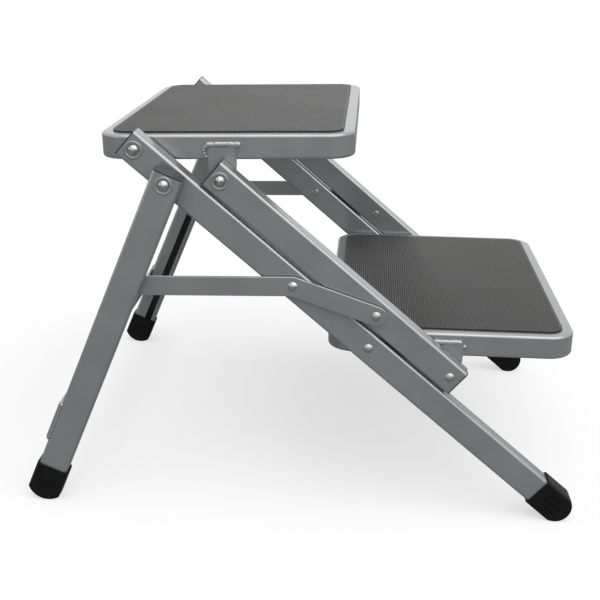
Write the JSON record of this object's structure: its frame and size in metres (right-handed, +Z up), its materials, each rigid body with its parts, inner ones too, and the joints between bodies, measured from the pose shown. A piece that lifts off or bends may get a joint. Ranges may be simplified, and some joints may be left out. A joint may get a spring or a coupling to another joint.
{
  "type": "double caravan step",
  "caption": "Folding caravan step with two ribbed treads on a linked steel frame: parallel rails swing both treads together, and sliding braces hold the splayed legs.",
  "frame": {"origin": "on the floor, under the middle of the overall box of the opened step", "axes": "+X forward, from the upper tread towards the lower one; +Y to the right of a person who climbs towards -X, seen from behind them; +Z up"},
  "size_m": [0.5738, 0.487, 0.3962],
  "materials": {
    "grey_paint": "semi-gloss silver-grey powder coat",
    "mat_rubber": "matt, fine ribs across the tread",
    "foot_rubber": "matt black",
    "plug_plastic": "matt black",
    "zinc_steel": "bright zinc plate"
  },
  "bodies": {
    "front_legs": {"front_rail_left": "grey_paint", "front_rail_right": "grey_paint", "front_foot_left": "foot_rubber", "front_foot_right": "foot_rubber", "front_rail_plugs": "plug_plastic", "top_pivot_rivets": "zinc_steel", "top_pivot_washers": "grey_paint", "lower_pivot_rivets": "zinc_steel"},
    "rear_legs": {"rear_leg_left": "grey_paint", "rear_leg_right": "grey_paint", "rear_foot_left": "foot_rubber", "rear_foot_right": "foot_rubber", "rear_leg_plugs": "plug_plastic", "rear_stretcher": "grey_paint", "leg_pivot_rivets": "zinc_steel", "leg_pivot_washers": "grey_paint", "leg_pivot_bushes": "zinc_steel"},
    "link_rails": {"link_rail_left": "grey_paint", "link_rail_right": "grey_paint", "link_rail_plugs": "plug_plastic", "top_link_rivets": "zinc_steel", "top_link_washers": "grey_paint", "lower_link_rivets": "zinc_steel"},
    "brace_straps": {"brace_strap_left": "grey_paint", "brace_strap_right": "grey_paint", "slide_stud_left": "zinc_steel", "slide_stud_right": "zinc_steel", "brace_pivot_rivets": "zinc_steel", "brace_pivot_spacers": "zinc_steel", "brace_link_rivets": "zinc_steel", "brace_link_spacers": "zinc_steel"},
    "top_step": {"top_step_frame": "grey_paint", "top_step_panel": "grey_paint", "top_step_mat": "mat_rubber", "top_bracket_left": "grey_paint", "top_bracket_right": "grey_paint", "top_step_spacers": "zinc_steel"},
    "lower_step": {"lower_step_frame": "grey_paint", "lower_step_panel": "grey_paint", "lower_step_mat": "mat_rubber", "lower_bracket_left": "grey_paint", "lower_bracket_right": "grey_paint", "lower_step_spacers": "zinc_steel"}
  },
  "joints": [
    {"name": "fold", "type": "hinge", "parent": "front_legs", "child": "top_step", "pos_m": [-0.17532, 0, 0.3736], "axis": [0, -1, 0], "range_deg": [0, 135.5]},
    {"name": "lower_fold", "type": "hinge", "parent": "front_legs", "child": "lower_step", "pos_m": [0.06223, 0, 0.18294], "axis": [0, -1, 0], "range_deg": [0, 135.5]},
    {"name": "brace_fold", "type": "hinge", "parent": "front_legs", "child": "brace_straps", "pos_m": [-0.01622, 0, 0.24591], "axis": [0, -1, 0], "range_deg": [0, 135.5]},
    {"name": "leg_fold", "type": "hinge", "parent": "front_legs", "child": "rear_legs", "pos_m": [-0.14116, 0, 0.34618], "axis": [0, -1, 0], "range_deg": [0, 70.32]},
    {"name": "link_swing", "type": "hinge", "parent": "top_step", "child": "link_rails", "pos_m": [-0.09112, 0, 0.3474], "axis": [0, -1, 0], "range_deg": [-135.5, 0]}
  ],
  "couplings": [
    {"joint": "lower_fold", "follows": "fold", "ratio": 1},
    {"joint": "brace_fold", "follows": "fold", "ratio": 1},
    {"joint": "leg_fold", "follows": "fold", "ratio": 0.519},
    {"joint": "link_swing", "follows": "fold", "ratio": -1}
  ]
}
